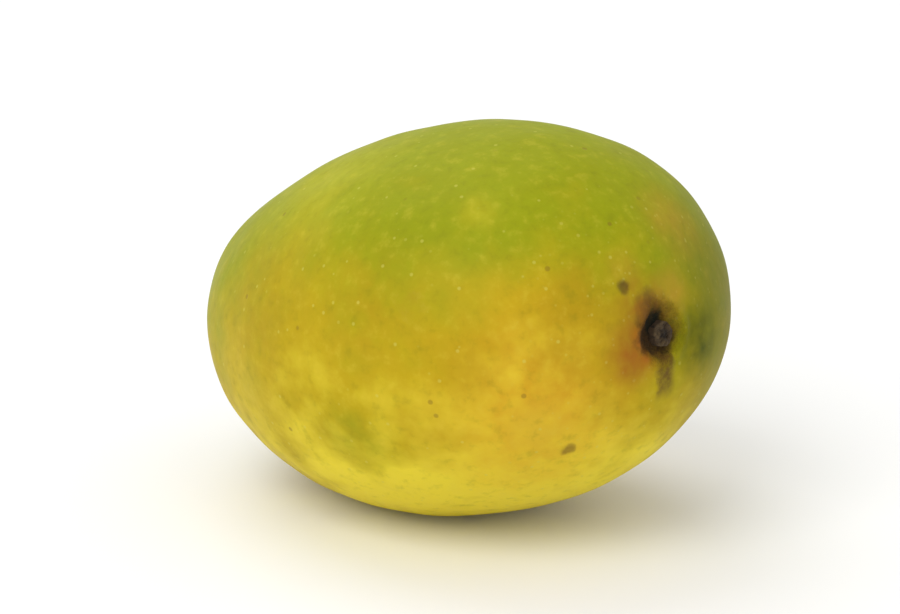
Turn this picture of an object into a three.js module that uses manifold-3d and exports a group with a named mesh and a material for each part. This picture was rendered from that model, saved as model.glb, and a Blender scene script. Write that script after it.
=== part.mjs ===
// Priyoor mango: one green-yellow fruit of the south-west coast of India, as picked, lying on its cheek.
//
// Units are millimetres and +Z is up. The fruit's length runs along X, with the stalk end at +X. The
// origin is on the surface that the fruit lies on, under the middle of the model's bounding box.
//
// The fruit grew as one piece, so it is one solid: an egg-like body, fuller at the stalk end, with a
// shallow basin and a corky rim round the stalk, a small point at the apex, and a small flat spot
// underneath that it rests on. The dry stub of the stalk stands in a socket in the basin.

import * as THREE from "three";
import { mergeVertices } from "three/addons/utils/BufferGeometryUtils.js";
import Module from "manifold-3d";

const { degToRad, clamp } = THREE.MathUtils;

// Body of the fruit: length from apex to stalk, width from back to belly, thickness from cheek to cheek
const LENGTH = 108;
const WIDTH = 81;
const THICKNESS = 71.5;
const BLUNTNESS = 0.975; // power of the sine that closes the ends: the smaller, the blunter they are
const STALK_SWELL = 0.125; // share by which the stalk end is fuller, and the apex slimmer
const SHOULDER_SWELL = 0.135; // further share on the side of the stalk end that has the shoulder
const SHOULDER_TURN = degToRad(70); // where that side is, from +Y towards +Z
const STALK_LEAN = { y: 1.5, z: 0.8 }; // how far the stalk end sits off the body's axis
const APEX_LEAN = { y: 1, z: 5 }; // and the apex
const RISE = degToRad(7.9); // slope of the body's axis as the fruit lies: the stalk end is higher

// Unevenness of the flesh: shallow waves round the body, as a share of its radius
const WAVE_SHARE = 0.009;
const WAVES = [
  { weight: 0.5, lobes: 2, along: 3, phase: 1 },
  { weight: 0.3, lobes: 3, along: -4.5, phase: 2.2 },
  { weight: 0.2, lobes: 5, along: 6, phase: 0 },
];

// Stalk basin with its corky rim, and the point at the apex
const BASIN_DEPTH = 2.6;
const BASIN_RADIUS = 6.5;
const RIM_HEIGHT = 0.55;
const RIM_RADIUS = 5.4;
const RIM_WIDTH = 1.2;
const RIM_LUMPS = { share: 0.35, lobes: 3, phase: 0.7 };
const POINT_HEIGHT = 0.8;
const POINT_RADIUS = 3.5;

// Dry stub of the stalk, in its socket
const STUB_RADIUS = 2.3;
const STUB_FLARE = 0.35; // how much wider it is at its foot
const STUB_PROUD = 2.1; // how far it stands over the floor of the basin
const STUB_CROWN = 0.3; // height of its domed, weathered end
const SOCKET_DEPTH = 1.8;
const GAP = 0.3;

// Flat spot: how much is taken off the lowest point of the cheek
const FLAT_DEPTH = 1.2;

// Facets
const AROUND = 64;
const ALONG = 56;
const STALK_CROWDING = 1.5; // over 1 brings the rings of facets closer together at the stalk
const STUB_SIDES = 20;
const STUB_WALL_STEPS = 4;

const wasm = await Module();
wasm.setup();

// The geometry without its seams, with only its positions left.
function merged(geometry) {
  geometry.deleteAttribute("normal");
  geometry.deleteAttribute("uv");
  return mergeVertices(geometry, 1e-5);
}

// A closed geometry as a solid that can be cut.
function solidOf(geometry) {
  const closed = merged(geometry.clone());
  return new wasm.Manifold(
    new wasm.Mesh({
      numProp: 3,
      vertProperties: closed.attributes.position.array,
      triVerts: closed.index.array,
    }),
  );
}

// A cut solid back as a geometry.
function geometryOf(solid) {
  const { vertProperties, triVerts } = solid.getMesh();
  const geometry = new THREE.BufferGeometry();
  geometry.setAttribute("position", new THREE.BufferAttribute(vertProperties, 3));
  geometry.setIndex(new THREE.BufferAttribute(triVerts, 1));
  geometry.computeVertexNormals();
  return geometry;
}

// A hump of height 1 and the given half-width at distance 0.
const hump = (distance, width) => Math.exp(-((distance / width) ** 2));

// A point of the skin. fromStalk is the angle from the stalk to the apex, 0 to pi, and around is the
// angle round the body from +Y towards +Z.
//   t = cos(fromStalk)
//   radius = sin(fromStalk)^BLUNTNESS * (1 + (STALK_SWELL + SHOULDER_SWELL cos(around - turn)) t) * waves
//   x = LENGTH/2 t
//   y = WIDTH/2 radius cos(around) + lean.y |t|^3
//   z = THICKNESS/2 radius sin(around) + lean.z |t|^3
// The basin, its rim and the point at the apex are humps added along x, by distance from the body's ends.
function skinPoint(fromStalk, around) {
  const t = Math.cos(fromStalk);
  const lean = t > 0 ? STALK_LEAN : APEX_LEAN;
  const leanShare = Math.abs(t) ** 3;
  let waves = 1;
  for (const { weight, lobes, along, phase } of WAVES)
    waves += WAVE_SHARE * weight * Math.sin(lobes * around + along * t + phase);
  const swell = 1 + (STALK_SWELL + SHOULDER_SWELL * Math.cos(around - SHOULDER_TURN)) * t;
  const radius = Math.max(0, Math.sin(fromStalk)) ** BLUNTNESS * swell * waves;
  const y = (WIDTH / 2) * radius * Math.cos(around) + lean.y * leanShare;
  const z = (THICKNESS / 2) * radius * Math.sin(around) + lean.z * leanShare;
  const fromEnd = Math.hypot(y - lean.y, z - lean.z);

  let x = (LENGTH / 2) * t;
  if (t > 0) {
    const lumps = 1 + RIM_LUMPS.share * Math.sin(RIM_LUMPS.lobes * around + RIM_LUMPS.phase);
    x -= BASIN_DEPTH * hump(fromEnd, BASIN_RADIUS);
    x += RIM_HEIGHT * lumps * hump(fromEnd - RIM_RADIUS, RIM_WIDTH);
  } else {
    x -= POINT_HEIGHT * hump(fromEnd, POINT_RADIUS);
  }
  return new THREE.Vector3(x, y, z);
}

// The skin as a closed surface: a sphere whose poles go to the stalk and the apex.
function skinGeometry() {
  const skin = merged(new THREE.SphereGeometry(1, AROUND, ALONG));
  const position = skin.attributes.position;
  const onSphere = new THREE.Vector3();
  for (let i = 0; i < position.count; i++) {
    onSphere.fromBufferAttribute(position, i);
    const share = Math.acos(clamp(onSphere.y, -1, 1)) / Math.PI;
    const fromStalk = Math.PI * share ** STALK_CROWDING;
    const around = Math.atan2(onSphere.x, onSphere.z);
    position.setXYZ(i, ...skinPoint(fromStalk, around).toArray());
  }
  return skin;
}

// A round bar along +X about the stalk's axis, from x0 to x1, for the socket.
function stalkBar(radius, x0, x1) {
  const bar = new THREE.CylinderGeometry(radius, radius, x1 - x0, STUB_SIDES);
  bar.rotateZ(-Math.PI / 2);
  return bar.translate((x0 + x1) / 2, STALK_LEAN.y, STALK_LEAN.z);
}

// Where the floor of the basin and the foot of the socket are, along the stalk's axis.
const BASIN_FLOOR = LENGTH / 2 - BASIN_DEPTH;
const SOCKET_FLOOR = BASIN_FLOOR - SOCKET_DEPTH;

// The fruit: the skin with the socket cut into its basin, laid at its slope, then cut flat underneath.
function makeFruit(laidDown) {
  const socket = stalkBar(STUB_RADIUS + STUB_FLARE + GAP, SOCKET_FLOOR, LENGTH);
  const body = geometryOf(solidOf(skinGeometry()).subtract(solidOf(socket)));
  body.applyMatrix4(laidDown);
  body.computeBoundingBox();

  const under = new THREE.BoxGeometry(2 * LENGTH, 2 * LENGTH, LENGTH);
  under.translate(0, 0, body.boundingBox.min.z + FLAT_DEPTH - LENGTH / 2);
  const material = new THREE.MeshStandardMaterial({ color: 0xaca62e, roughness: 0.5, metalness: 0 });
  const fruit = new THREE.Mesh(geometryOf(solidOf(body).subtract(solidOf(under))), material);
  fruit.name = "fruit";
  return fruit;
}

// The stub: a short bar, wider at its foot, with a low domed end. Its profile is turned about +Y and then
// laid along the stalk's axis, clear of the socket by GAP all round.
function makeStub() {
  const length = SOCKET_DEPTH - GAP + STUB_PROUD;
  const wallHeight = length - STUB_CROWN;
  const profile = [new THREE.Vector2(0, 0)];
  for (let i = 0; i <= STUB_WALL_STEPS; i++) {
    const share = i / STUB_WALL_STEPS;
    profile.push(new THREE.Vector2(STUB_RADIUS + STUB_FLARE * (1 - share) ** 2, wallHeight * share));
  }
  profile.push(new THREE.Vector2(STUB_RADIUS * 0.7, length - STUB_CROWN * 0.3));
  profile.push(new THREE.Vector2(0, length));
  const material = new THREE.MeshStandardMaterial({ color: 0x4c4033, roughness: 0.9, metalness: 0 });
  const geometry = geometryOf(solidOf(new THREE.LatheGeometry(profile, STUB_SIDES)));
  const stub = new THREE.Mesh(geometry, material);
  stub.name = "stalk_stub";
  stub.rotation.z = -Math.PI / 2;
  stub.position.set(SOCKET_FLOOR + GAP, STALK_LEAN.y, STALK_LEAN.z);
  return stub;
}

const laidDown = new THREE.Matrix4().makeRotationY(-RISE);
const stalk = new THREE.Group();
stalk.applyMatrix4(laidDown);
stalk.add(makeStub());

const mango = new THREE.Group();
mango.add(makeFruit(laidDown), stalk);

// The origin goes under the middle of the bounding box, on the surface that the fruit lies on.
const bounds = new THREE.Box3().setFromObject(mango, true);
const middle = bounds.getCenter(new THREE.Vector3());
mango.position.set(-middle.x, -middle.y, -bounds.min.z);

export default mango;
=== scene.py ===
"""Looks of one priyoor mango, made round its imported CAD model.

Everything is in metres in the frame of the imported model: +X runs along the fruit to its stalk end, +Z is
up, and the origin is on the surface that the fruit lies on, under the middle of its bounding box. Lengths
are written as millimetres times MM.

The fruit's skin and the dry stub of its stalk are closed surfaces worked out with numpy from the same
driving dimensions as the CAD solids, with the finer relief of a real peel, and each takes the place of its
CAD node. Their materials are procedural.
"""

import logging
import math
from abc import ABC, abstractmethod
from dataclasses import dataclass, field
from enum import Enum
from typing import ClassVar

import bpy
import numpy as np
from mathutils import Color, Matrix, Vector


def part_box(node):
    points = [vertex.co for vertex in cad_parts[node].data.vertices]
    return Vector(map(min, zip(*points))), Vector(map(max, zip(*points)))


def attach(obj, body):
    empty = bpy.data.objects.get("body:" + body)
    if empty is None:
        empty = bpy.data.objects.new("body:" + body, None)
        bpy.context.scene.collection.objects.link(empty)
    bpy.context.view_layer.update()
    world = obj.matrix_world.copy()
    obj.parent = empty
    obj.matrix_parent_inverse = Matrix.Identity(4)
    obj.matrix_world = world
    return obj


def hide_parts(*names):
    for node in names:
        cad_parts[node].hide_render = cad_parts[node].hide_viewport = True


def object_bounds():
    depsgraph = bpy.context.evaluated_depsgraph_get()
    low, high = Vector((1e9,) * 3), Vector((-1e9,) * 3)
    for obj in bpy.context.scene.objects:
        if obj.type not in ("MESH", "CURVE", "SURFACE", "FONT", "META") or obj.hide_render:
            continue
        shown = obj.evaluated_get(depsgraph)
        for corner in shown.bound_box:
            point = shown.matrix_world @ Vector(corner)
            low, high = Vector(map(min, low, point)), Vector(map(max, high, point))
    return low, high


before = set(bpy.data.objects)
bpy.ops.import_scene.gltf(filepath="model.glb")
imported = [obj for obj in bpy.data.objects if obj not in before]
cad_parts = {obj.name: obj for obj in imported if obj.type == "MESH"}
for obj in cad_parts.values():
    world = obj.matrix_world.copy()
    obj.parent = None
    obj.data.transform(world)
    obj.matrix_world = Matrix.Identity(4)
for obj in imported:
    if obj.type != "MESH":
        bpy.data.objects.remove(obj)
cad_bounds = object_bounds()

MM = 0.001
BODY_NODE = "fruit"
LOG = logging.getLogger("mango")

Triple = tuple[float, float, float]
Socket = bpy.types.NodeSocket


def paint(red: int, green: int, blue: int) -> Triple:
    """A display colour, each part from 0 to 255, as linear light."""
    return tuple(Color((red / 255, green / 255, blue / 255)).from_srgb_to_scene_linear())


def hump(distance: np.ndarray, width: float) -> np.ndarray:
    """A smooth bump of height 1: exp(-(distance / width)^2)."""
    return np.exp(-((distance / width) ** 2))


@dataclass(frozen=True)
class Ripples:
    """A smooth random relief made of plane waves in seeded directions.

    Attributes:
        seed: Seed of the directions and phases.
        wavelength: Distance from crest to crest.
        height: Its usual height, the root of its mean square.
        waves: How many plane waves are added.
    """

    seed: int
    wavelength: float
    height: float
    waves: int = 20

    def __call__(self, points: np.ndarray) -> np.ndarray:
        """Height * sqrt(2 / n) times the sum of n waves sin(2 pi / wavelength * (d . p) + phase).

        Each wave has its own unit direction d and its own phase.

        Args:
            points: Places, with x, y and z along the last axis.

        Returns:
            The height at each place.
        """
        draw = np.random.default_rng(self.seed)
        directions = draw.normal(size=(3, self.waves))
        directions *= 2 * math.pi / self.wavelength / np.linalg.norm(directions, axis=0)
        phases = draw.uniform(0, 2 * math.pi, self.waves)
        return self.height * (np.sin(points @ directions + phases).sum(-1) * math.sqrt(2 / self.waves))


def add_object(name: str, data: bpy.types.ID) -> bpy.types.Object:
    """Adds an object to the scene, at the origin.

    Args:
        name: Its name.
        data: Its mesh, light or camera.

    Returns:
        The object.
    """
    made = bpy.data.objects.new(name, data)
    bpy.context.scene.collection.objects.link(made)
    return made


def outward(grid: np.ndarray) -> np.ndarray:
    """Unit normals of a grid of rings: the cross product of its two tangents.

    Args:
        grid: Points by ring and by place round the ring, closed round the ring.

    Returns:
        The normals, in the same layout, out of a body whose rings run from its +X end.
    """
    along = np.gradient(grid, axis=0)
    around = np.roll(grid, -1, axis=1) - np.roll(grid, 1, axis=1)
    normals = np.cross(along, around)
    return normals / np.linalg.norm(normals, axis=-1, keepdims=True)


def closed_mesh(name: str, rings: np.ndarray) -> bpy.types.Object:
    """A closed, smooth-shaded body from rings of points.

    Place j of ring i is vertex i * m + j, with m places in a ring. Quads join neighbouring rings, and fans
    to a pole at the ring's mean close the first ring and the last.

    Args:
        name: Name of the object and its mesh.
        rings: Points by ring, from the body's +X end, and by place round the ring, from +Y towards +Z.

    Returns:
        The new object, linked to the scene at the origin.
    """
    count, around, _ = rings.shape
    first_pole, last_pole = count * around, count * around + 1
    vertices = np.concatenate([rings.reshape(-1, 3), rings[:1].mean(1), rings[-1:].mean(1)])

    here = np.arange(around)
    after = np.roll(here, -1)
    start = np.arange(count - 1)[:, None] * around
    quads = np.stack([start + here, start + around + here, start + around + after, start + after], -1)
    first_fan = np.stack([np.full(around, first_pole), here, after], -1)
    last = (count - 1) * around
    last_fan = np.stack([last + here, np.full(around, last_pole), last + after], -1)

    corners = np.concatenate([quads.ravel(), first_fan.ravel(), last_fan.ravel()])
    sides = np.concatenate([np.full(quads.size // 4, 4), np.full(2 * around, 3)])
    mesh = bpy.data.meshes.new(name)
    mesh.vertices.add(len(vertices))
    mesh.vertices.foreach_set("co", vertices.ravel())
    mesh.loops.add(len(corners))
    mesh.loops.foreach_set("vertex_index", corners)
    mesh.polygons.add(len(sides))
    mesh.polygons.foreach_set("loop_start", np.concatenate([[0], np.cumsum(sides)[:-1]]))
    mesh.update(calc_edges=True)
    mesh.validate()
    mesh.shade_smooth()
    return add_object(name, mesh)


@dataclass(frozen=True)
class Wave:
    """A wave round an axis, as a share of what it changes.

    Attributes:
        share: Its height.
        lobes: How many crests there are round the axis.
        phase: Its phase.
        along: How far it turns along the axis.
    """

    share: float
    lobes: int
    phase: float
    along: float = 0

    def __call__(self, around: np.ndarray, t: np.ndarray | float = 0) -> np.ndarray:
        """share * sin(lobes * around + along * t + phase)."""
        return self.share * np.sin(self.lobes * around + self.along * t + self.phase)


@dataclass(frozen=True)
class StalkSeat:
    """The basin at the stalk end, its corky rim, and the socket of the stub, about the stalk's axis.

    Attributes:
        depth: Depth of the basin.
        radius: Half-width of the basin.
        rim_height: Height of the rim.
        rim_radius: Radius of its crest.
        rim_width: Half-width of the rim.
        rim_lumps: Unevenness of its height.
        socket_depth: How far the socket goes down from the basin's floor.
        gap: Gap between the stub's foot and the socket's floor.
    """

    depth: float = 2.6 * MM
    radius: float = 6.5 * MM
    rim_height: float = 0.55 * MM
    rim_radius: float = 5.4 * MM
    rim_width: float = 1.2 * MM
    rim_lumps: Wave = Wave(0.35, 3, 0.7)
    socket_depth: float = 1.8 * MM
    gap: float = 0.3 * MM

    def relief(self, distance: np.ndarray, around: np.ndarray) -> np.ndarray:
        """Height on the body: rim * (1 + lumps) * hump(distance - rim radius) - depth * hump(distance)."""
        rim = (1 + self.rim_lumps(around)) * hump(distance - self.rim_radius, self.rim_width)
        return self.rim_height * rim - self.depth * hump(distance, self.radius)


@dataclass
class Body:
    """The fruit's body: the surface that the skin and its marks are placed on.

    Attributes:
        length: From apex to stalk.
        width: From back to belly.
        thickness: From cheek to cheek.
        bluntness: Power of the sine that closes the ends.
        stalk_swell: Share by which the stalk end is fuller.
        shoulder_swell: Further share on the side that has the shoulder.
        shoulder_turn: Where that side is, from +Y towards +Z.
        stalk_lean: How far the stalk end sits off the axis, in y and z.
        apex_lean: How far the apex sits off the axis.
        rise: Slope of the axis as the fruit lies.
        flat_depth: How much the surface that it lies on takes off its lowest point.
        point_height: Height of the point at the apex.
        point_radius: Its half-width.
        waves: Unevenness of the flesh.
        seat: The basin round the stalk.
        samples: How many places, from end to end and round it, are tried to find its box.
        shift: Where the laid body's own origin is in the model's frame. place() sets it.
    """

    length: float = 108 * MM
    width: float = 81 * MM
    thickness: float = 71.5 * MM
    bluntness: float = 0.975
    stalk_swell: float = 0.125
    shoulder_swell: float = 0.135
    shoulder_turn: float = math.radians(70)
    stalk_lean: tuple[float, float] = (1.5 * MM, 0.8 * MM)
    apex_lean: tuple[float, float] = (1 * MM, 5 * MM)
    rise: float = math.radians(7.9)
    flat_depth: float = 1.2 * MM
    point_height: float = 0.8 * MM
    point_radius: float = 3.5 * MM
    waves: tuple[Wave, ...] = (Wave(0.0045, 2, 1, 3), Wave(0.0027, 3, 2.2, -4.5), Wave(0.0018, 5, 0, 6))
    seat: StalkSeat = StalkSeat()
    samples: int = 400
    shift: np.ndarray = field(default_factory=lambda: np.zeros(3))

    def surface(self, from_stalk: np.ndarray, around: np.ndarray) -> np.ndarray:
        """Points of the skin before the fruit is laid down.

        With t = cos(from_stalk) and radius = sin(from_stalk)^bluntness * (1 + (stalk swell + shoulder
        swell * cos(around - turn)) * t) * (1 + waves), x is length/2 * t, y is width/2 * radius *
        cos(around) + lean * |t|^3 and z is thickness/2 * radius * sin(around) + lean * |t|^3. The stalk
        seat and the point at the apex are added along x, by distance from the body's ends.

        Args:
            from_stalk: Angle from the stalk, 0, to the apex, pi.
            around: Angle round the body, from +Y towards +Z.

        Returns:
            The points, with x, y and z along the last axis.
        """
        t = np.cos(from_stalk)
        stalk_side = t > 0
        lean_y = np.where(stalk_side, self.stalk_lean[0], self.apex_lean[0])
        lean_z = np.where(stalk_side, self.stalk_lean[1], self.apex_lean[1])
        lean_share = np.abs(t) ** 3
        uneven = sum(wave(around, t) for wave in self.waves)
        swell = 1 + (self.stalk_swell + self.shoulder_swell * np.cos(around - self.shoulder_turn)) * t
        radius = np.maximum(0, np.sin(from_stalk)) ** self.bluntness * swell * (1 + uneven)
        y = self.width / 2 * radius * np.cos(around) + lean_y * lean_share
        z = self.thickness / 2 * radius * np.sin(around) + lean_z * lean_share
        from_end = np.hypot(y - lean_y, z - lean_z)
        ends = np.where(
            stalk_side,
            self.seat.relief(from_end, around),
            -self.point_height * hump(from_end, self.point_radius),
        )
        return np.stack([self.length / 2 * t + ends, y, z], -1)

    def lay(self, points: np.ndarray) -> np.ndarray:
        """Lays points down with the fruit: turned about Y by the rise, then shifted to their place.

        Args:
            points: The points, with x, y and z along the last axis.

        Returns:
            The laid points.
        """
        sine, cosine = math.sin(self.rise), math.cos(self.rise)
        x, y, z = np.moveaxis(points, -1, 0)
        return np.stack([cosine * x - sine * z, y, sine * x + cosine * z], -1) + self.shift

    @property
    def box(self) -> np.ndarray:
        """The lowest and the highest corner of the CAD solid."""
        return np.array([tuple(corner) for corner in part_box(BODY_NODE)])

    def place(self) -> None:
        """Sets the shift that centres the laid body on the CAD solid, with flat_depth under its floor."""
        low, high = self.box
        steps = np.linspace(0, 1, self.samples)
        laid = self.lay(self.surface(*np.meshgrid(math.pi * steps, 2 * math.pi * steps))).reshape(-1, 3)
        self.shift = (low + high) / 2 - (laid.min(0) + laid.max(0)) / 2
        self.shift[2] = low[2] - laid[:, 2].min() - self.flat_depth

    def at(self, from_stalk: float, around: float) -> Vector:
        """The place on the laid skin at two angles, in degrees."""
        return Vector(self.lay(self.surface(np.radians(from_stalk), np.radians(around))))

    @property
    def stalk_foot(self) -> Vector:
        """The middle of the basin's floor on the laid fruit."""
        floor = np.array([self.length / 2 - self.seat.depth, *self.stalk_lean])
        return Vector(self.lay(floor))


class Tint(Enum):
    """Colours of the skin's marks and of its painted shade, of the dry stalk and of the floor."""

    GOLD = paint(197, 149, 30)
    OCHRE = paint(165, 135, 18)
    STRAW = paint(177, 148, 24)
    LIME = paint(180, 177, 42)
    MOSS = paint(132, 138, 14)
    # Painted shade: the deep green of the shade that neighbouring fruit cast on the skin.
    DEEP_GREEN = paint(74, 80, 6)
    DULL_GREEN = paint(112, 112, 14)
    CREAM = paint(210, 188, 60)
    BLUSH = paint(176, 138, 40)
    LENTICEL = paint(196, 188, 84)
    RUSSET = paint(122, 96, 30)
    TAN = paint(136, 112, 30)
    BROWN = paint(116, 90, 33)
    UMBER = paint(88, 72, 30)
    # Painted shade: olive brown of the shade round the stalk basin.
    DUSK = paint(118, 96, 18)
    RUST = paint(156, 97, 24)
    SAP = paint(102, 78, 28)
    CORK = paint(100, 68, 28)
    SCAR = paint(56, 40, 22)
    TEAL = paint(24, 30, 24)
    BARK = paint(60, 45, 28)
    CRACK = paint(26, 20, 14)
    GREY_WOOD = paint(86, 70, 46)
    FLOOR = paint(245, 245, 244)


@dataclass(frozen=True)
class Grain:
    """A kind of soft noise.

    Attributes:
        size: About how large its features are.
        weight: What the noise is multiplied by.
        detail: How many finer layers are added.
        roughness: How strong each finer layer is next to the one before.
    """

    size: float
    weight: float = 1
    detail: float = 2
    roughness: float = 0.5


class Number:
    """A number that changes over a surface: a socket, with Python's operators as Math nodes."""

    def __init__(self, bench: "Bench", socket: Socket) -> None:
        """Wraps a socket of the bench's node tree."""
        self.bench = bench
        self.socket = socket

    def _math(self, operation: str, first: "Number | float", second: "Number | float") -> "Number":
        """One Math node on two operands."""
        return self.bench.number("ShaderNodeMath", {"operation": operation}, {0: first, 1: second})

    def __add__(self, other: "Number | float") -> "Number":
        """self + other."""
        return self._math("ADD", self, other)

    def __sub__(self, other: "Number | float") -> "Number":
        """self - other."""
        return self._math("SUBTRACT", self, other)

    def __rsub__(self, other: float) -> "Number":
        """other - self."""
        return self._math("SUBTRACT", other, self)

    def __mul__(self, other: "Number | float") -> "Number":
        """self * other."""
        return self._math("MULTIPLY", self, other)

    # Sums and products are the same either way round.
    __radd__ = __add__
    __rmul__ = __mul__

    def ease(self, low: float, high: float) -> "Number":
        """0 at low, 1 at high and a smooth step between them. Low may be the larger one."""
        inputs = {"Value": self, "From Min": low, "From Max": high}
        return self.bench.number("ShaderNodeMapRange", {"interpolation_type": "SMOOTHSTEP"}, inputs)


class Bench:
    """The node tree of one material, and the few calls that the finishes are written in."""

    def __init__(self, name: str, body: Body | None = None) -> None:
        """Starts an empty material.

        Args:
            name: Name of the material.
            body: The laid body that its marks are placed on, if there are any.
        """
        self.body = body
        self.material = bpy.data.materials.new(name)
        self.material.use_nodes = True
        self.tree = self.material.node_tree
        self.tree.nodes.clear()
        self.place = self.node("ShaderNodeTexCoord").outputs["Object"]

    def node(self, kind: str, settings: dict | None = None, inputs: dict | None = None) -> bpy.types.Node:
        """Adds a node.

        Args:
            kind: The node's type name.
            settings: Properties, set first. "stops" lists a ramp's two or more (position, colour).
            inputs: Value, Tint, socket or Number for each input, by name or index.

        Returns:
            The new node.
        """
        node = self.tree.nodes.new(kind)
        for key, value in (settings or {}).items():
            if key != "stops":
                setattr(node, key, value)
                continue
            for _ in value[2:]:
                node.color_ramp.elements.new(1)
            for stop, (position, colour) in zip(node.color_ramp.elements, value):
                stop.position, stop.color = position, (*colour, 1)
        for key, value in (inputs or {}).items():
            value = value.socket if isinstance(value, Number) else value
            if isinstance(value, Socket):
                self.tree.links.new(value, node.inputs[key])
            else:
                node.inputs[key].default_value = (*value.value, 1) if isinstance(value, Tint) else value
        return node

    def number(self, kind: str, settings: dict | None = None, inputs: dict | None = None,
               output: str | int = 0) -> Number:
        """Adds a node and wraps one of its outputs as a Number."""
        return Number(self, self.node(kind, settings, inputs).outputs[output])

    def vector(self, operation: str, first: Socket, second: Triple, output: str | int = 0) -> Socket:
        """One Vector Math node on a socket and a constant."""
        inputs = {0: first, 1: second}
        return self.node("ShaderNodeVectorMath", {"operation": operation}, inputs).outputs[output]

    def sides(self, place: Socket) -> tuple[Number, Number, Number]:
        """The x, y and z of places."""
        parts = self.node("ShaderNodeSeparateXYZ", None, {0: place}).outputs
        return tuple(Number(self, part) for part in parts)

    def stalk_places(self, scale: Triple) -> Socket:
        """Measures places from the stalk's foot, with x along the stalk's axis.

        Args:
            scale: What x, y and z are multiplied by.

        Returns:
            The places.
        """
        rotation = (0, -self.body.rise, 0)
        inputs = {"Vector": self.place, "Location": self.body.stalk_foot, "Rotation": rotation}
        turned = self.node("ShaderNodeMapping", {"vector_type": "TEXTURE"}, inputs).outputs[0]
        return self.vector("MULTIPLY", turned, scale)

    def noise(self, *grains: Grain, place: Socket | None = None) -> Number:
        """Adds up soft noises, each of them from -1 to 1, mostly within 0.5, times its weight.

        A noise node's n from 0 to 1 counts as weight * (2 n - 1).

        Args:
            *grains: The kinds of noise.
            place: Places that they are taken at, or None for those of the surface.

        Returns:
            The sum.
        """
        total = -sum(grain.weight for grain in grains)
        for grain in grains:
            inputs = {
                "Vector": place or self.place,
                "Scale": 1 / grain.size,
                "Detail": grain.detail,
                "Roughness": grain.roughness,
            }
            total = self.number("ShaderNodeTexNoise", None, inputs, "Fac") * (2 * grain.weight) + total
        return total

    def near(self, centre: Triple | Vector, inner: float, outer: float,
             place: Socket | None = None, fray: Number | None = None) -> Number:
        """1 within the inner distance of a centre, and 0 past the outer one. Fray adds to the distance."""
        away = Number(self, self.vector("DISTANCE", place or self.place, tuple(centre), "Value"))
        return (away if fray is None else away + fray).ease(outer, inner)

    def blend(self, share: Number, under: Socket | Tint, over: Socket | Tint) -> Socket:
        """Covers a colour by a share, clamped to 0 to 1, of another."""
        # The node has sockets A, B and Result for each type. Those for colours are 6, 7 and 2.
        settings = {"data_type": "RGBA", "clamp_factor": True}
        return self.node("ShaderNodeMix", settings, {0: share, 6: under, 7: over}).outputs[2]

    def finish(self, inputs: dict[str, object], height: Number | None = None) -> bpy.types.Material:
        """Joins the surface's shader and output.

        Args:
            inputs: Value, socket or Number for each input of the shader that is set.
            height: Fine relief, in metres, or None for a smooth surface.

        Returns:
            The finished material.
        """
        if height is not None:
            bump = self.node("ShaderNodeBump", None, {"Strength": 1, "Distance": 1, "Height": height})
            inputs = {**inputs, "Normal": bump.outputs[0]}
        shader = self.node("ShaderNodeBsdfPrincipled", None, inputs)
        self.node("ShaderNodeOutputMaterial", None, {"Surface": shader.outputs[0]})
        return self.material


@dataclass(frozen=True)
class Patch:
    """A soft patch of another colour or ripeness.

    Attributes:
        from_stalk: Angle from the stalk, in degrees.
        around: Angle round the body, in degrees.
        reach: Distance at which the patch has faded out.
        riper: How much riper the skin is in its middle, or greener where negative.
        tint: Colour that covers the skin there, if any.
        strength: Share of that colour in the middle.
    """

    from_stalk: float
    around: float
    reach: float
    riper: float = 0
    tint: Tint | None = None
    strength: float = 0

    def share(self, bench: Bench) -> Number:
        """1 in the patch's middle, fading to 0 at its reach."""
        return bench.near(bench.body.at(self.from_stalk, self.around), 0, self.reach)


@dataclass(frozen=True)
class Speck:
    """A small brown spot of the skin.

    Attributes:
        from_stalk: Angle from the stalk, in degrees.
        around: Angle round the body, in degrees.
        radius: About how large it is.
        tint: Its colour.
        strength: Share of that colour in its middle.
        edge: Shares of the radius between which it fades out, and by which the noise frays its edge.
    """

    from_stalk: float
    around: float
    radius: float
    tint: Tint
    strength: float = 0.7
    edge: Triple = (0.3, 1.3, 1.2)

    def share(self, bench: Bench, noise: Number) -> Number:
        """1 in the speck's middle, fading to 0 over a frayed edge."""
        inner, outer, fray = (self.radius * part for part in self.edge)
        return bench.near(bench.body.at(self.from_stalk, self.around), inner, outer, fray=fray * noise)


@dataclass(frozen=True)
class Dots:
    """Scattered dots of the skin.

    Attributes:
        spacing: Mean distance between the cells that hold one dot each.
        radius: Their largest radius.
        rare: A cell draws 0 to 1. Under the first of these its dot is left out, from the second full.
        tint: Their colour.
        strength: Share of that colour.
        depth: How deep they are sunk.
        fade: Distances from the stalk between which they fade out, or None where they are all over.
    """

    spacing: float
    radius: float
    rare: tuple[float, float]
    tint: Tint
    strength: float
    depth: float
    fade: tuple[float, float] | None = None

    def share(self, bench: Bench) -> Number:
        """Makes the mask of the dots. A dot whose centre lies off the surface shows smaller.

        Args:
            bench: The material's bench.

        Returns:
            1 in the dots, fading to 0 from half their radius to the whole.
        """
        inputs = {"Vector": bench.place, "Scale": 1 / self.spacing}
        cells = bench.node("ShaderNodeTexVoronoi", None, inputs).outputs
        edge = self.radius / self.spacing
        draw = bench.number("ShaderNodeSeparateColor", None, {0: cells["Color"]})
        mask = Number(bench, cells["Distance"]).ease(edge, edge / 2) * draw.ease(*self.rare)
        return mask * bench.near(bench.body.stalk_foot, *self.fade) if self.fade else mask


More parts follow.
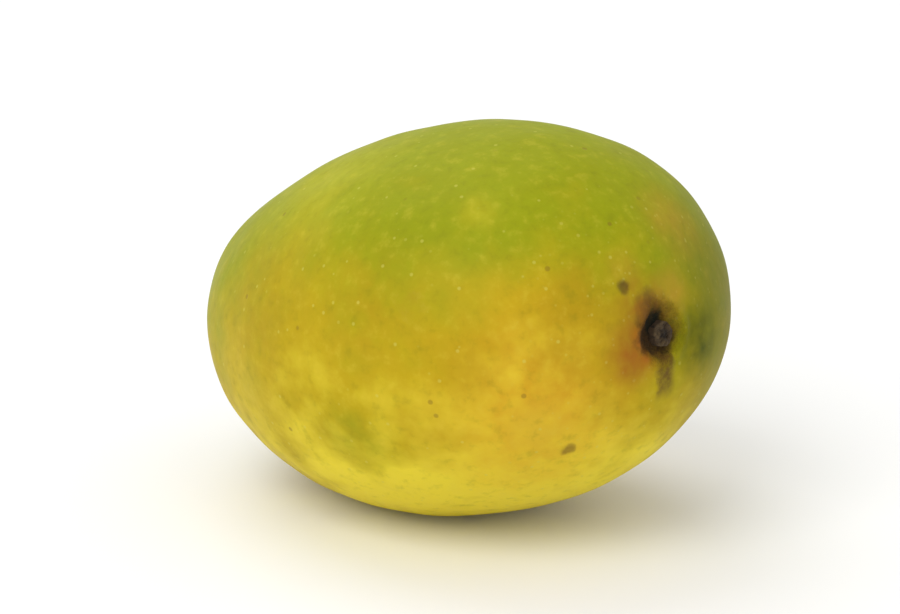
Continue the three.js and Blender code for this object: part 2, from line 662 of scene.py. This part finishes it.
@dataclass(frozen=True)
class StainOrShade:
    """A stain or a patch of painted shade near the stalk, placed across the stalk's axis.

    Attributes:
        right: Where its middle is towards +Y.
        up: Where its middle is upwards.
        inner: Distance from its middle up to which it is full.
        outer: Distance at which it has faded out.
        tint: Its colour.
        strength: Share of that colour in its middle.
        broken: How much noise changes that share.
    """

    right: float
    up: float
    inner: float
    outer: float
    tint: Tint
    strength: float
    broken: float = 0

    def share(self, bench: Bench, places: Socket, fray: Number | None) -> Number:
        """1 in the middle of the stain, fading to 0 over its edge."""
        return bench.near((0, self.right, self.up), self.inner, self.outer, places, fray)


@dataclass(frozen=True)
class SapRun:
    """A run of dried sap, down from the stalk.

    Attributes:
        right: Where its middle line is across the stalk's axis, towards +Y.
        sides: Distances from its middle line between which it fades out.
        top: Heights, over the axis, between which it begins.
        foot: Heights between which it ends.
        wander: Share of the fray by which it wanders sideways.
        tint: Its colour.
        strength: Share of that colour.
        broken: How much noise changes that share.
    """

    right: float = 0.6 * MM
    sides: tuple[float, float] = (1.1 * MM, 2.9 * MM)
    top: tuple[float, float] = (-2 * MM, -4 * MM)
    foot: tuple[float, float] = (-11.5 * MM, -8 * MM)
    wander: float = 0.5
    tint: Tint = Tint.SAP
    strength: float = 0.8
    broken: float = 0.9

    def share(self, bench: Bench, places: Socket, fray: Number) -> Number:
        """Shapes the run: the product of its two sides, its top and its foot.

        Args:
            bench: The material's bench.
            places: Places measured from the stalk's foot.
            fray: Length by which it wanders.

        Returns:
            1 in the run, fading to 0 over its edges.
        """
        _, right, up = bench.sides(places)
        off = right - self.right + self.wander * fray
        full, gone = self.sides
        return off.ease(gone, full) * off.ease(-gone, -full) * up.ease(*self.top) * up.ease(*self.foot)


@dataclass(frozen=True)
class StalkScar:
    """Marks of the skin round the stalk, from the outside in: painted shade and stained patches, a run of
    sap, the rim and the scar.

    Attributes:
        scale: How much each side of a place counts. It is less along the stalk.
        crumbs: Noise that breaks up the crust.
        fray: Lengths by which the ragged noise and the crumbs fray its edges.
        shade_and_stains: Painted shade, and soft stained patches of the skin, beside the stalk.
        crust: The run of dried sap, the corky rim and the dark scar.
        rough: Distances from the stalk between which the rough surface ends.
    """

    scale: Triple = (0.3, 1, 0.9)
    crumbs: Grain = Grain(1.6 * MM, 1, 4, 0.6)
    fray: tuple[float, float] = (2.2 * MM, 1.6 * MM)
    shade_and_stains: tuple[StainOrShade, ...] = (
        # Painted shade: deep green on the right of the stalk end, the shade of neighbouring fruit, wide
        # and then closer in beside the scar.
        StainOrShade(19 * MM, 0, 4 * MM, 24 * MM, Tint.DEEP_GREEN, 0.5),
        StainOrShade(9.5 * MM, -2.5 * MM, 1 * MM, 8.5 * MM, Tint.DEEP_GREEN, 0.65, 0.9),
        # Painted shade: olive brown over the left and top of the stalk basin, where the hollow darkens the
        # skin.
        StainOrShade(-5 * MM, 3 * MM, 2 * MM, 12 * MM, Tint.DUSK, 0.35, 0.4),
        StainOrShade(3 * MM, 6 * MM, 1.5 * MM, 6 * MM, Tint.BLUSH, 0.5, 0.5),
        StainOrShade(-6.4 * MM, -1.8 * MM, 1.5 * MM, 8 * MM, Tint.RUST, 0.75, 0.7),
        StainOrShade(-4 * MM, 4.5 * MM, 1 * MM, 7 * MM, Tint.RUST, 0.5, 1),
    )
    crust: tuple[StainOrShade | SapRun, ...] = (
        SapRun(),
        StainOrShade(-1 * MM, 0.8 * MM, 3.2 * MM, 7 * MM, Tint.CORK, 0.7, 0.9),
        StainOrShade(-2.8 * MM, 4.2 * MM, 1.3 * MM, 4 * MM, Tint.CORK, 0.75, 0.6),
        StainOrShade(-0.3 * MM, -0.3 * MM, 2.2 * MM, 4.2 * MM, Tint.SCAR, 0.9, 0.5),
        StainOrShade(-4 * MM, -0.2 * MM, 1.2 * MM, 3.6 * MM, Tint.SCAR, 0.95, 0.5),
        StainOrShade(-0.9 * MM, 2.1 * MM, 0.8 * MM, 2.9 * MM, Tint.TEAL, 0.85, 0.5),
    )
    rough: tuple[float, float] = (4.5 * MM, 7 * MM)

    def over(self, bench: Bench, colour: Socket, ragged: Number) -> tuple[Socket, Number]:
        """Paints the marks over the skin's colour, each by its share * (strength + broken * noise).

        Args:
            bench: The material's bench.
            colour: The skin's colour so far.
            ragged: Noise that makes the painted shade, the stained patches and the edges ragged.

        Returns:
            The colour with the marks, and a mask that is 1 on the rough scar.
        """
        places = bench.stalk_places(self.scale)
        crumbs = bench.noise(self.crumbs)
        fray = self.fray[0] * ragged + self.fray[1] * crumbs
        for marks, noise, edge in ((self.shade_and_stains, ragged, None), (self.crust, crumbs, fray)):
            for mark in marks:
                share = mark.share(bench, places, edge) * (mark.strength + mark.broken * noise)
                colour = bench.blend(share, colour, mark.tint)
        return colour, bench.near((0, 0, 0), *self.rough, places, fray)


class Ripeness(Enum):
    """Colours of the skin from unripe to ripe, each with its place on the scale from 0 to 1."""

    LEAF = (0.0, paint(144, 151, 16))
    GREEN = (0.28, paint(142, 146, 14))
    OLIVE = (0.5, paint(160, 151, 18))
    YELLOW = (0.75, paint(180, 157, 20))
    RIPE = (1.0, paint(222, 203, 54))


@dataclass(frozen=True)
class Ripening:
    """How ripe the skin is from place to place, on the scale of Ripeness.

    Attributes:
        level: Ripeness in the fruit's middle.
        fall: How much less ripe the top is.
        gain: How much riper the belly is.
        belly: Direction of the belly, by the stalk end.
        clouds: Noise that breaks it up.
    """

    level: float = 0.44
    fall: float = 0.46
    gain: float = 0.3
    belly: Triple = (0.74, -0.66, -0.13)
    clouds: tuple[Grain, ...] = (Grain(26 * MM, 0.3), Grain(7 * MM, 0.24, 3))

    def spread(self, bench: Bench) -> Number:
        """Works out the ripeness before the patches: level - fall * z + gain * (place . belly) + clouds.

        The place and its z are counted from the middle of the fruit's box, in half sizes of it.

        Args:
            bench: The material's bench.

        Returns:
            The ripeness.
        """
        low, high = bench.body.box
        scale = 2 / (high - low)
        moved = -scale * (low + high) / 2
        inputs = {"Vector": bench.place, "Location": moved.tolist(), "Scale": scale.tolist()}
        place = bench.node("ShaderNodeMapping", None, inputs).outputs[0]
        facing = Number(bench, bench.vector("DOT_PRODUCT", place, self.belly, "Value"))
        _, _, height = bench.sides(place)
        return self.level - self.fall * height + self.gain * facing + bench.noise(*self.clouds)


@dataclass(frozen=True)
class SkinFinish:
    """Peel of the mango: green over the top, yellow below, golden at the belly near the stalk.

    Attributes:
        ripening: How ripe the skin is from place to place.
        patches: Soft patches of another ripeness or colour; the lighter one on the upper flank is partly a
            painted highlight.
        specks: Single spots.
        dots: Pale and brown dots all over.
        scar: Marks round the stalk.
        ragged: Noise that makes the patches ragged.
        raggedness: How much it changes their share.
        mottle: Noise of the fine mottle.
        mottle_span: Height of that noise at which its shadow or glow is full.
        shadow: Share of dull green where the mottle is high.
        glow: Share of cream where the mottle is low.
        pores: Noises of the skin's relief.
        cracks: Noise of the scar's relief.
        sheen: Noise of the roughness.
        roughness: Mean roughness of the skin.
        scar_roughness: How much rougher the scar is.
        specular: How much the skin mirrors.
        flesh_share: Share of the light that goes into the flesh.
        flesh_colours: How far its red, green and blue go there, as shares of the depth.
        flesh_depth: How far it goes at most.
    """

    ripening: Ripening = Ripening()
    patches: tuple[Patch, ...] = (
        Patch(33, 198, 29 * MM, 0.25, Tint.GOLD, 0.8),
        Patch(44, 222, 22 * MM, 0.16, Tint.GOLD, 0.3),
        Patch(23, 152, 9 * MM, 0, Tint.OCHRE, 0.5),
        Patch(26, 171, 13 * MM, 0, Tint.OCHRE, 0.5),
        Patch(66, 174, 24 * MM, 0.12, Tint.STRAW, 0.5),
        Patch(17, 195, 9 * MM, -0.1, Tint.OCHRE, 0.35),
        Patch(18, 114, 5 * MM, 0, Tint.BLUSH, 0.4),
        Patch(24, 136, 8 * MM, -0.15, Tint.OCHRE, 0.35),
        Patch(24, 228, 7 * MM, 0, Tint.OCHRE, 0.45),
        Patch(46, 181, 11 * MM, -0.06, Tint.OCHRE, 0.45),
        Patch(38, 214, 9 * MM, 0, Tint.CREAM, 0.25),
        Patch(106, 192, 16 * MM, 0, Tint.CREAM, 0.35),
        Patch(67, 160, 18 * MM, -0.13, Tint.OCHRE, 0.25),
        Patch(58, 203, 13 * MM, -0.1, Tint.STRAW, 0.5),
        Patch(76, 203, 12 * MM, -0.2, Tint.MOSS, 0.35),
        Patch(63, 138, 14 * MM, -0.2, Tint.MOSS, 0.45),
        # Partly painted highlight: lighter, yellow-green skin over the upper flank, partly the skin's own
        # colour and partly a painted highlight.
        Patch(97, 124, 24 * MM, 0.2, Tint.LIME, 0.5),
        Patch(102, 139, 18 * MM, -0.15, Tint.MOSS, 0.15),
        Patch(51, 127, 6 * MM, 0.16, Tint.LIME, 0.35),
        Patch(96, 168, 24 * MM, 0.08, Tint.OCHRE, 0.5),
        Patch(27, 64, 11 * MM, 0, Tint.BLUSH, 0.55),
        Patch(104, 320, 26 * MM, 0.2, Tint.GOLD, 0.4),
        Patch(128, 40, 24 * MM, 0.35),
        Patch(66, 22, 12 * MM, -0.3),
        Patch(84, 356, 24 * MM, 0.3, Tint.STRAW, 0.3),
        Patch(48, 50, 18 * MM, 0.25),
        Patch(112, 84, 20 * MM, 0.22),
    )
    specks: tuple[Speck, ...] = (
        Speck(15.3, 124, 1.4 * MM, Tint.UMBER, 0.95, (0.5, 1.2, 0.6)),
        Speck(38, 235, 1.5 * MM, Tint.BROWN),
        Speck(58, 160, 2.3 * MM, Tint.TAN, 0.3, (0, 1.4, 1.8)),
        Speck(83, 262, 1.3 * MM, Tint.BROWN),
        Speck(97, 41, 1.6 * MM, Tint.BROWN),
        Speck(71, 318, 1.2 * MM, Tint.UMBER),
        Speck(140, 100, 1.4 * MM, Tint.BROWN, 0.6),
        Speck(180, 0, 1.6 * MM, Tint.BROWN),
        Speck(56, 8, 1.1 * MM, Tint.UMBER),
        Speck(118, 352, 1.5 * MM, Tint.TAN),
        Speck(102, 72, 1 * MM, Tint.UMBER),
    )
    dots: tuple[Dots, ...] = (
        Dots(2.7 * MM, 0.42 * MM, (0.2, 0.6), Tint.LENTICEL, 0.4, 0.02 * MM),
        Dots(1.7 * MM, 0.34 * MM, (0.35, 0.7), Tint.LENTICEL, 0.45, 0.01 * MM, (8 * MM, 34 * MM)),
        Dots(6.5 * MM, 0.62 * MM, (0.35, 0.8), Tint.RUSSET, 0.5, 0.03 * MM),
    )
    scar: StalkScar = StalkScar()
    ragged: Grain = Grain(4 * MM, 1, 3)
    raggedness: float = 0.5
    mottle: Grain = Grain(2.4 * MM, 1, 4, 0.6)
    mottle_span: float = 0.6
    shadow: float = 0.3
    glow: float = 0.25
    pores: tuple[Grain, ...] = (Grain(1.2 * MM, 0.018 * MM), Grain(3.5 * MM, 0.03 * MM))
    cracks: Grain = Grain(1.1 * MM, 0.55 * MM, 4, 0.7)
    sheen: Grain = Grain(9 * MM, 0.06)
    roughness: float = 0.52
    scar_roughness: float = 0.42
    specular: float = 0.07
    flesh_share: float = 0.12
    flesh_colours: Triple = (1.0, 0.55, 0.12)
    flesh_depth: float = 2.5 * MM

    def _clouded(self, bench: Bench, ragged: Number, mottle: Number) -> Socket:
        """Works out the skin's own colour: ripeness as a colour, then the patches and a fine mottle.

        Args:
            bench: The material's bench.
            ragged: Noise that makes the patches ragged.
            mottle: Noise of the mottle.

        Returns:
            The colour.
        """
        ripe = self.ripening.spread(bench)
        shares = [patch.share(bench) for patch in self.patches]
        for patch, share in zip(self.patches, shares):
            if patch.riper:
                ripe = ripe + patch.riper * share
        stops = [stage.value for stage in Ripeness]
        colour = bench.node("ShaderNodeValToRGB", {"stops": stops}, {0: ripe}).outputs[0]
        for patch, share in zip(self.patches, shares):
            if patch.tint:
                share = share * (patch.strength + self.raggedness * ragged)
                colour = bench.blend(share, colour, patch.tint)
        colour = bench.blend(self.shadow * mottle.ease(0, self.mottle_span), colour, Tint.DULL_GREEN)
        return bench.blend(self.glow * mottle.ease(0, -self.mottle_span), colour, Tint.CREAM)

    def make(self, body: Body) -> bpy.types.Material:
        """Makes the material of the skin.

        Args:
            body: The laid body that the marks are placed on.

        Returns:
            The material.
        """
        bench = Bench("skin", body)
        ragged, mottle = bench.noise(self.ragged), bench.noise(self.mottle)
        colour = self._clouded(bench, ragged, mottle)
        height = bench.noise(*self.pores)
        for dots in self.dots:
            share = dots.share(bench)
            colour = bench.blend(dots.strength * share, colour, dots.tint)
            height = height - dots.depth * share
        for speck in self.specks:
            share = speck.share(bench, mottle) * (speck.strength + self.raggedness * ragged)
            colour = bench.blend(share, colour, speck.tint)
        colour, scarred = self.scar.over(bench, colour, ragged)
        inputs = {
            "Base Color": colour,
            "Roughness": self.roughness + bench.noise(self.sheen) + self.scar_roughness * scarred,
            "Specular IOR Level": self.specular,
            "Subsurface Weight": self.flesh_share,
            "Subsurface Radius": self.flesh_colours,
            "Subsurface Scale": self.flesh_depth,
        }
        return bench.finish(inputs, height + bench.noise(self.cracks) * scarred)


@dataclass(frozen=True)
class StalkFinish:
    """Dry, weathered stalk: grey-brown with darker cracks along it, and a paler end with a dark pith.

    Attributes:
        fibres: Noise of the cracks.
        stretch: Scale of places for the cracks. It is under 1 along the stalk, which makes them longer.
        cracked: Height of that noise at which a crack is full.
        blotches: Noise of the weathering.
        end: Heights over the basin's floor between which the paler end begins.
        greyness: Share of grey wood on the end, and how much the blotches change it.
        pith: Distances from the axis between which the dark pith ends.
        pith_fray: How uneven the pith's edge is.
        pith_strength: Share of the pith's colour.
        roughness: Mean roughness, and how much the blotches change it.
        specular: How much the stalk mirrors.
        relief: Height of the fibres and of the blotches, and depth of the pith.
    """

    fibres: Grain = Grain(0.5 * MM, 1, 3, 0.6)
    stretch: Triple = (0.25, 1, 1)
    cracked: float = 0.5
    blotches: Grain = Grain(1.4 * MM, 1, 3, 0.6)
    end: tuple[float, float] = (1.2 * MM, 2.1 * MM)
    greyness: tuple[float, float] = (0.5, 1.4)
    pith: tuple[float, float] = (0.2 * MM, 1.3 * MM)
    pith_fray: float = 1.2 * MM
    pith_strength: float = 0.8
    roughness: tuple[float, float] = (0.85, 0.08)
    specular: float = 0.3
    relief: Triple = (0.3 * MM, 0.2 * MM, 0.35 * MM)

    def make(self, body: Body) -> bpy.types.Material:
        """Makes the material of the stub.

        Args:
            body: The laid body, which gives the stalk's axis.

        Returns:
            The material.
        """
        bench = Bench("stalk", body)
        fibres = bench.noise(self.fibres, place=bench.stalk_places(self.stretch))
        blotch = bench.noise(self.blotches)
        up, _, _ = bench.sides(bench.stalk_places((1, 1, 1)))
        from_axis = bench.stalk_places((0, 1, 1))
        pith = bench.near((0, 0, 0), *self.pith, from_axis, self.pith_fray * fibres)

        grey, patchy = self.greyness
        colour = bench.blend(fibres.ease(0, self.cracked), Tint.BARK, Tint.CRACK)
        colour = bench.blend(up.ease(*self.end) * (grey + patchy * blotch), colour, Tint.GREY_WOOD)
        rough, uneven = self.roughness
        inputs = {
            "Base Color": bench.blend(self.pith_strength * pith, colour, Tint.CRACK),
            "Roughness": rough + uneven * blotch,
            "Specular IOR Level": self.specular,
        }
        ridge, lump, hollow = self.relief
        return bench.finish(inputs, ridge * fibres + lump * blotch - hollow * pith)


@dataclass
class Part(ABC):
    """A closed surface that takes the place of a CAD node.

    Attributes:
        node: Name of that node.
        slot: Name of its material slot. It is not used.
        finish: The finish that it is dressed in.
        body: The laid body that it belongs to.
    """

    node: ClassVar[str]
    slot: ClassVar[str]
    finish: ClassVar[SkinFinish | StalkFinish]

    body: Body

    @abstractmethod
    def build(self) -> bpy.types.Object:
        """Builds the surface."""

    def dress(self, piece: bpy.types.Object) -> None:
        """Gives the built surface its finish and its place in the frame.

        Args:
            piece: The object that build() made.
        """
        piece.data.materials.append(self.finish.make(self.body))
        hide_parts(self.node)
        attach(piece, "root")


@dataclass
class Skin(Part):
    """The fruit's skin, with the stalk basin, the point at the apex and the flat spot.

    Attributes:
        rings: How many rings of vertices there are from stalk to apex.
        around: How many vertices there are in a ring.
        crowding: Power that brings the rings closer together at the stalk.
        ripples: Ripples of the peel.
        cork_radius: Half-width of the rough cork round the stalk.
        cork_ripples: Ripples of the cork.
    """

    node = BODY_NODE
    slot = "skin"
    finish = SkinFinish()

    rings: int = 260
    around: int = 352
    crowding: float = 1.5
    ripples: tuple[Ripples, ...] = (Ripples(3, 30 * MM, 0.12 * MM), Ripples(7, 11 * MM, 0.05 * MM))
    cork_radius: float = 5.5 * MM
    cork_ripples: tuple[Ripples, ...] = (Ripples(11, 2.6 * MM, 0.1 * MM), Ripples(13, 1.3 * MM, 0.05 * MM))

    def relief(self, points: np.ndarray) -> np.ndarray:
        """Works out the fine relief along the normal.

        It is the sum of the peel's ripples, plus hump(distance from the stalk's axis) times the sum of
        the cork's ripples.

        Args:
            points: Points of the skin before it is laid down.

        Returns:
            The height over the plain surface.
        """
        from_axis = np.linalg.norm(points[..., 1:] - np.array(self.body.stalk_lean), axis=-1)
        cork = np.where(points[..., 0] > 0, hump(from_axis, self.cork_radius), 0)
        peel = sum(ripples(points) for ripples in self.ripples)
        return peel + cork * sum(ripples(points) for ripples in self.cork_ripples)

    def build(self) -> bpy.types.Object:
        """Builds the skin: the body's surface on a grid, plus its relief, laid down and flat at the floor.

        Returns:
            The skin's object.
        """
        share = np.arange(1, self.rings + 1) / (self.rings + 1)
        from_stalk = math.pi * share ** self.crowding
        around = np.linspace(0, 2 * math.pi, self.around, endpoint=False)
        grid = self.body.surface(*np.meshgrid(from_stalk, around, indexing="ij"))
        laid = self.body.lay(grid + outward(grid) * self.relief(grid)[..., None])
        laid[..., 2] = np.maximum(laid[..., 2], self.body.box[0, 2])
        return closed_mesh("mango_skin", laid)


@dataclass
class StalkStub(Part):
    """The dry stub of the stalk: a short bar with a flared foot, uneven sides and a broken, domed end.

    Attributes:
        radius: Radius near its end.
        flare: How much wider its foot is.
        proud: How far it stands over the basin's floor.
        crown: Height of its domed end.
        around: How many vertices there are in a ring.
        wall_rings: Rings up its side.
        end_rings: Rings over its end.
        ridges: Ridges along it, as shares of the radius.
        shrink: Share of the radius that it has dried in by.
        bumps: Its bumps, as a share of the radius.
        wear: Ripples of its worn end.
    """

    node = "stalk_stub"
    slot = "stalk"
    finish = StalkFinish()

    radius: float = 2.3 * MM
    flare: float = 0.35 * MM
    proud: float = 2.1 * MM
    crown: float = 0.3 * MM
    around: int = 96
    wall_rings: int = 40
    end_rings: int = 24
    ridges: tuple[Wave, ...] = (Wave(0.03, 5, 1), Wave(0.018, 13, 0))
    shrink: float = 0.05
    bumps: Ripples = Ripples(17, 1.5 * MM, 0.02)
    wear: tuple[Ripples, ...] = (Ripples(19, 1.8 * MM, 0.22 * MM), Ripples(23, 0.7 * MM, 0.1 * MM))

    def build(self) -> bpy.types.Object:
        """Builds the stub, from the middle of its end to its foot.

        Over the end, radius = R sin(a) and height = wall + crown cos(a). Down the side, radius = R + flare
        (1 - h)^2, where h is the share of the wall's height. The radius is then multiplied by 1 - shrink +
        ridges + bumps, and the wear is added to the height of the end.

        Returns:
            The stub's object.
        """
        seat = self.body.seat
        wall = seat.socket_depth - seat.gap + self.proud - self.crown
        turn = np.linspace(0, math.pi / 2, self.end_rings + 1)[1:]
        share = np.linspace(1, 0, self.wall_rings + 1)[1:]
        radius = np.concatenate([self.radius * np.sin(turn), self.radius + self.flare * (1 - share) ** 2])
        height = np.concatenate([wall + self.crown * np.cos(turn), wall * share])
        around = np.linspace(0, 2 * math.pi, self.around, endpoint=False)
        radius, around = np.meshgrid(radius, around, indexing="ij")
        height = np.broadcast_to(height[:, None], radius.shape)

        plain = np.stack([height, radius * np.cos(around), radius * np.sin(around)], -1)
        ridges = sum(ridge(around) for ridge in self.ridges)
        radius = radius * (1 - self.shrink + ridges + self.bumps(plain))
        on_end = np.clip((height - wall) / self.crown, 0, 1)
        height = height + on_end * sum(ripples(plain) for ripples in self.wear)
        foot = self.body.length / 2 - seat.depth - seat.socket_depth + seat.gap
        y = self.body.stalk_lean[0] + radius * np.cos(around)
        z = self.body.stalk_lean[1] + radius * np.sin(around)
        return closed_mesh("dry_stalk_stub", self.body.lay(np.stack([foot + height, y, z], -1)))


def towards(azimuth: float, elevation: float) -> Vector:
    """The unit vector towards a place: round from -Y towards +X, then up, both angles in degrees."""
    a, e = math.radians(azimuth), math.radians(elevation)
    return Vector((math.sin(a) * math.cos(e), -math.cos(a) * math.cos(e), math.sin(e)))


@dataclass(frozen=True)
class Softbox:
    """A square area light that faces the fruit and that the camera doesn't see.

    Attributes:
        name: Its name.
        turn: Its place round the fruit, counted from the camera's, in degrees.
        elevation: Its height over the horizon, in degrees.
        power: Its power, in watts.
        side: Length of its side.
        distance: How far it is from the origin.
    """

    name: str
    turn: float
    elevation: float
    power: float
    side: float = 1.5
    distance: float = 2.4

    def build(self, azimuth: float) -> None:
        """Makes the light.

        Args:
            azimuth: The camera's place round the fruit, in degrees.
        """
        data = bpy.data.lights.new(self.name, "AREA")
        data.size = self.side
        data.energy = self.power
        light = add_object(self.name, data)
        out = towards(azimuth + self.turn, self.elevation)
        light.location = out * self.distance
        light.rotation_euler = (-out).to_track_quat("-Z", "Y").to_euler()
        light.visible_camera = False


@dataclass(frozen=True)
class FloorFinish:
    """Plain, pale and matte."""

    roughness: float = 0.9
    specular: float = 0.1

    def make(self) -> bpy.types.Material:
        """Makes the floor's material."""
        shine = {"Roughness": self.roughness, "Specular IOR Level": self.specular}
        return Bench("floor").finish({"Base Color": Tint.FLOOR, **shine})


@dataclass
class Studio:
    """Plain pale floor, soft light and the camera at the photograph's viewing angle.

    Attributes:
        azimuth: The camera's place round the fruit, from -Y towards +X, in degrees.
        elevation: The camera's height over the horizon, in degrees.
        distance: From the camera to the fruit's middle.
        shown_width: Width of what the camera sees at that distance.
        sensor_width: Width of the camera's sensor, in its own millimetres.
        floor_radius: Radius of the floor.
        floor_sides: How many sides its rim has.
        floor_drop: How far the floor is under the fruit, so that the two don't flicker.
        surroundings: Strength of the white light from all round.
        softboxes: The lights.
    """

    azimuth: float = 47.6
    elevation: float = 16
    distance: float = 700 * MM
    shown_width: float = 165 * MM
    sensor_width: float = 36
    floor_radius: float = 4
    floor_sides: int = 96
    floor_drop: float = 0.05 * MM
    surroundings: float = 0.77
    softboxes: tuple[Softbox, ...] = (
        Softbox("key", turn=-33, elevation=45, power=23),
        Softbox("fill", turn=-10, elevation=14, power=4, side=1.3),
        Softbox("back", turn=-150, elevation=58, power=12),
    )

    def camera(self) -> None:
        """Makes the camera and gives it to the scene."""
        data = bpy.data.cameras.new("camera")
        data.sensor_width = self.sensor_width
        data.lens = self.sensor_width * self.distance / self.shown_width
        camera = add_object("camera", data)
        low, high = cad_bounds
        out = towards(self.azimuth, self.elevation)
        camera.location = (low + high) / 2 + out * self.distance
        camera.rotation_euler = (-out).to_track_quat("-Z", "Y").to_euler()
        bpy.context.scene.camera = camera

    def floor(self) -> None:
        """Makes the pale floor, a round disc."""
        turn = np.linspace(0, 2 * math.pi, self.floor_sides, endpoint=False)
        drop = np.full_like(turn, -self.floor_drop)
        rim = np.stack([self.floor_radius * np.cos(turn), self.floor_radius * np.sin(turn), drop], -1)
        mesh = bpy.data.meshes.new("floor")
        mesh.from_pydata(rim.tolist(), [], [list(range(len(rim)))])
        mesh.materials.append(FloorFinish().make())
        add_object("floor", mesh)

    def light(self) -> None:
        """Makes the white surroundings and the softboxes."""
        world = bpy.data.worlds.new("surroundings")
        world.use_nodes = True
        background = world.node_tree.nodes["Background"]
        background.inputs["Color"].default_value = (1, 1, 1, 1)
        background.inputs["Strength"].default_value = self.surroundings
        bpy.context.scene.world = world
        for softbox in self.softboxes:
            softbox.build(self.azimuth)
        bpy.context.scene.view_settings.view_transform = "Standard"


def main() -> None:
    """Builds and dresses the pieces in order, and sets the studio."""
    logging.basicConfig(level=logging.INFO, format="%(name)s: %(message)s")
    studio = Studio()
    studio.camera()
    body = Body()
    body.place()
    for part in (Skin(body), StalkStub(body)):
        piece = part.build()
        part.dress(piece)
        LOG.info("%s: %d faces", piece.name, len(piece.data.polygons))
    studio.floor()
    studio.light()


if __name__ == "__main__":
    main()
